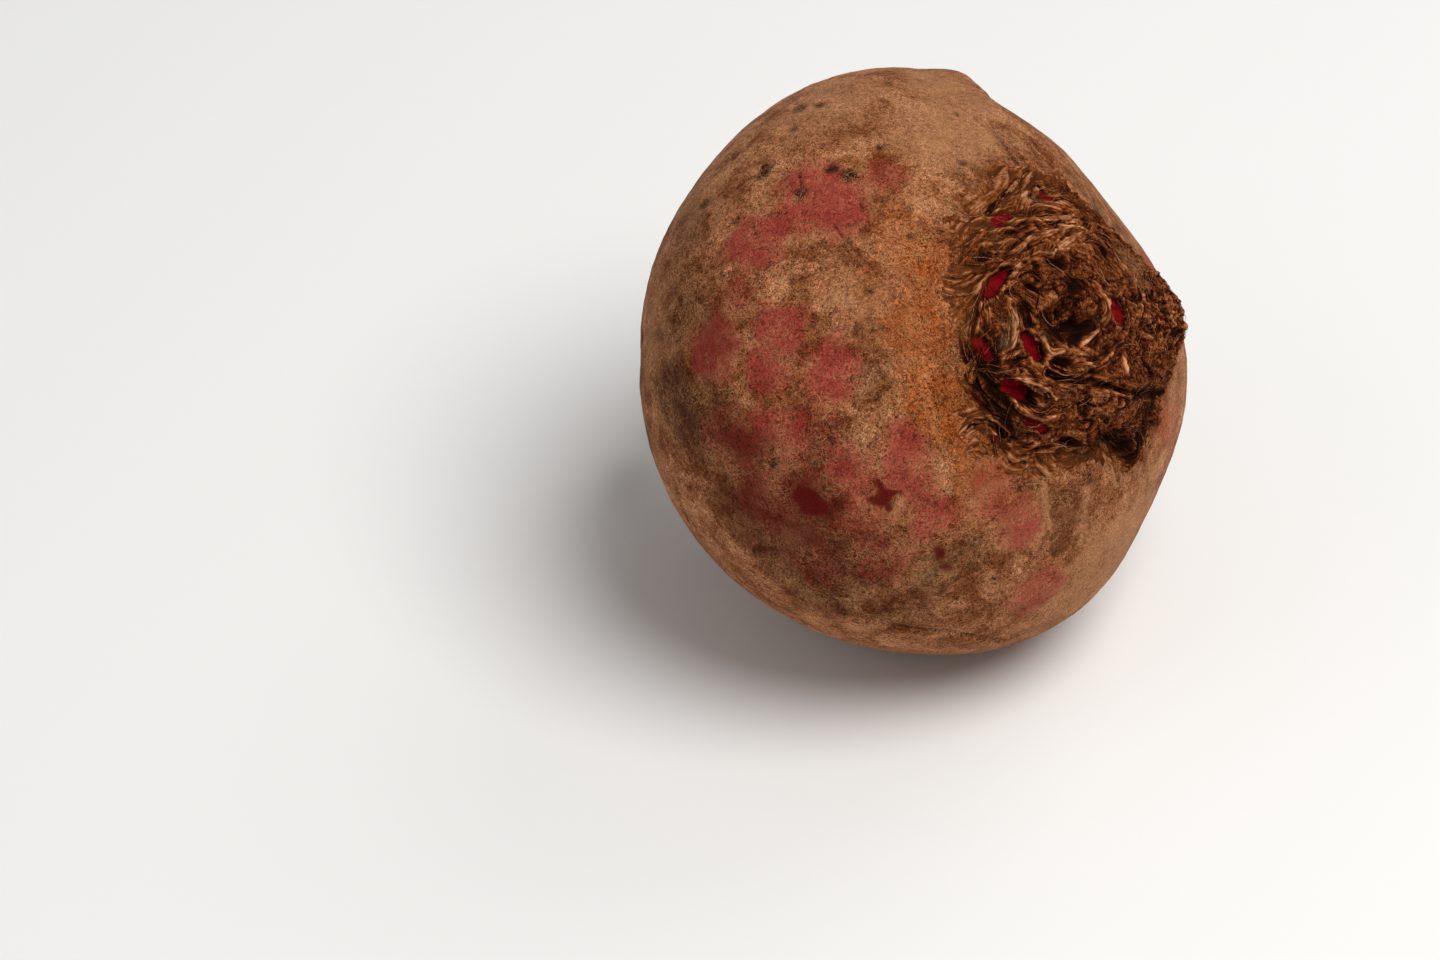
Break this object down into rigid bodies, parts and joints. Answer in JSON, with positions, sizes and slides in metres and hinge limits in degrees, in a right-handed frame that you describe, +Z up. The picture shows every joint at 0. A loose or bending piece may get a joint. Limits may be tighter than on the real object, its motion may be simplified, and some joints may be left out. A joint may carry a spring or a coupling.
{
  "type": "beetroot",
  "caption": "Whole corky-skinned beetroot lying on its side, with a short tail and a crown of torn, withered leaf-stalk bases.",
  "frame": {"origin": "middle of the flat spot that the beetroot lies on, on the resting surface", "axes": "+Z up, +X level and towards the crown, whose growing axis leans up from it by 36.8 degrees in the XZ plane"},
  "size_m": [0.0937, 0.0862, 0.0843],
  "materials": {
    "skin": "dry corky beetroot skin, tan to brown with rose-pink patches, crimson spots and dark stains",
    "withered_stalks": "dead leaf-stalk bases, dry and fibrous, dark brown with paler torn edges and crimson in the gaps"
  },
  "bodies": {
    "root": {"root": "skin", "leaf_bases": "withered_stalks"}
  },
  "joints": []
}
